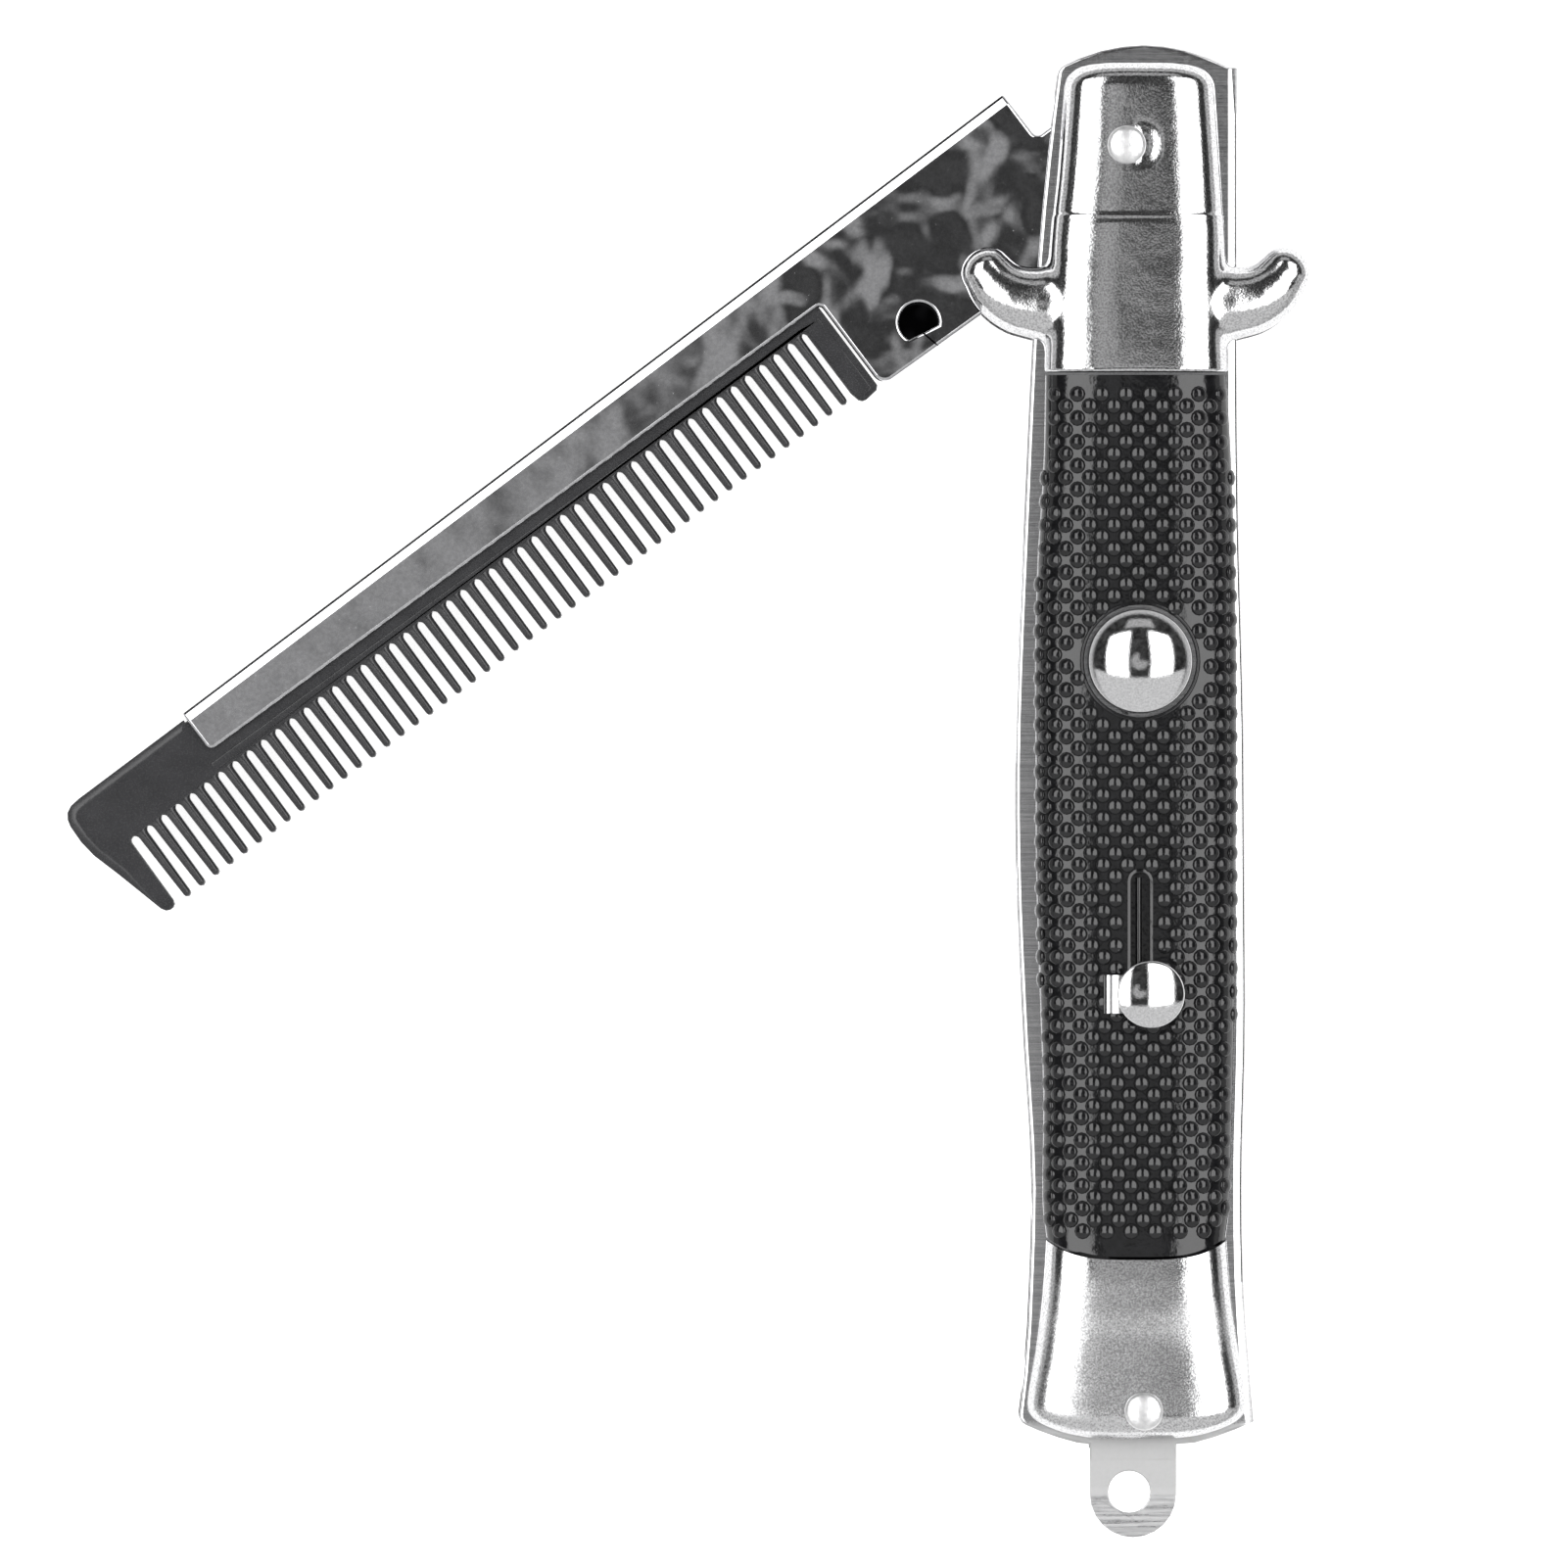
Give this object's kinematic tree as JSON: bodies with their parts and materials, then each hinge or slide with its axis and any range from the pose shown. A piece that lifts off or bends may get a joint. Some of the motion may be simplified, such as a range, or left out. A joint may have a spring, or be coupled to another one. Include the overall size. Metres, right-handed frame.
{
  "type": "folding comb",
  "caption": "Pocket comb that folds out of a slim riveted handle like a pocket knife, with curled guards, dark studded grips, a round button, a safety slide and a lanyard tab",
  "frame": {"origin": "centre of the bounding box in plan, at the height of the lowest rivet head, as the comb lies on its back", "axes": "+Y runs along the handle to its hinged end, +X to the handle's closed spine, +Z out of the face with the button"},
  "size_m": [0.1064, 0.1278, 0.0171],
  "materials": {
    "brushed_steel": "steel sheet with fine brushing across the handle and bright rounded edges",
    "bright_plate": "bright plating, slightly pitted on the bolsters",
    "bright_sheet": "polished steel sheet, a little wavy, with hairline scratches",
    "black_grip": "glossy black plastic studded with small round nubs",
    "grey_insert": "satin dark grey moulded plastic",
    "aluminium_rivet": "satin, low domed heads"
  },
  "bodies": {
    "handle": {"channel": "brushed_steel", "front_top_bolster": "bright_plate", "back_top_bolster": "bright_plate", "front_bottom_bolster": "bright_plate", "back_bottom_bolster": "bright_plate", "front_scale": "black_grip", "back_scale": "black_grip", "pivot_rivet": "aluminium_rivet", "bottom_rivet": "aluminium_rivet"},
    "comb": {"comb_back": "bright_sheet", "comb_teeth": "grey_insert"},
    "button": {"release_button": "bright_plate"},
    "slider": {"safety_slider": "bright_plate"}
  },
  "joints": [
    {"name": "comb_hinge", "type": "hinge", "parent": "handle", "child": "comb", "pos_m": [0.03748, 0.05521, 0.00752], "axis": [0, 0, 1], "range_deg": [-127, 52.9]},
    {"name": "button_press", "type": "slide", "parent": "handle", "child": "button", "axis": [0, 0, -1], "range_m": [0, 0.001], "stiffness_N_per_m": 300, "springref_m": -0.001},
    {"name": "safety_slide", "type": "slide", "parent": "handle", "child": "slider", "axis": [0, 1, 0], "range_m": [0, 0.008]}
  ]
}
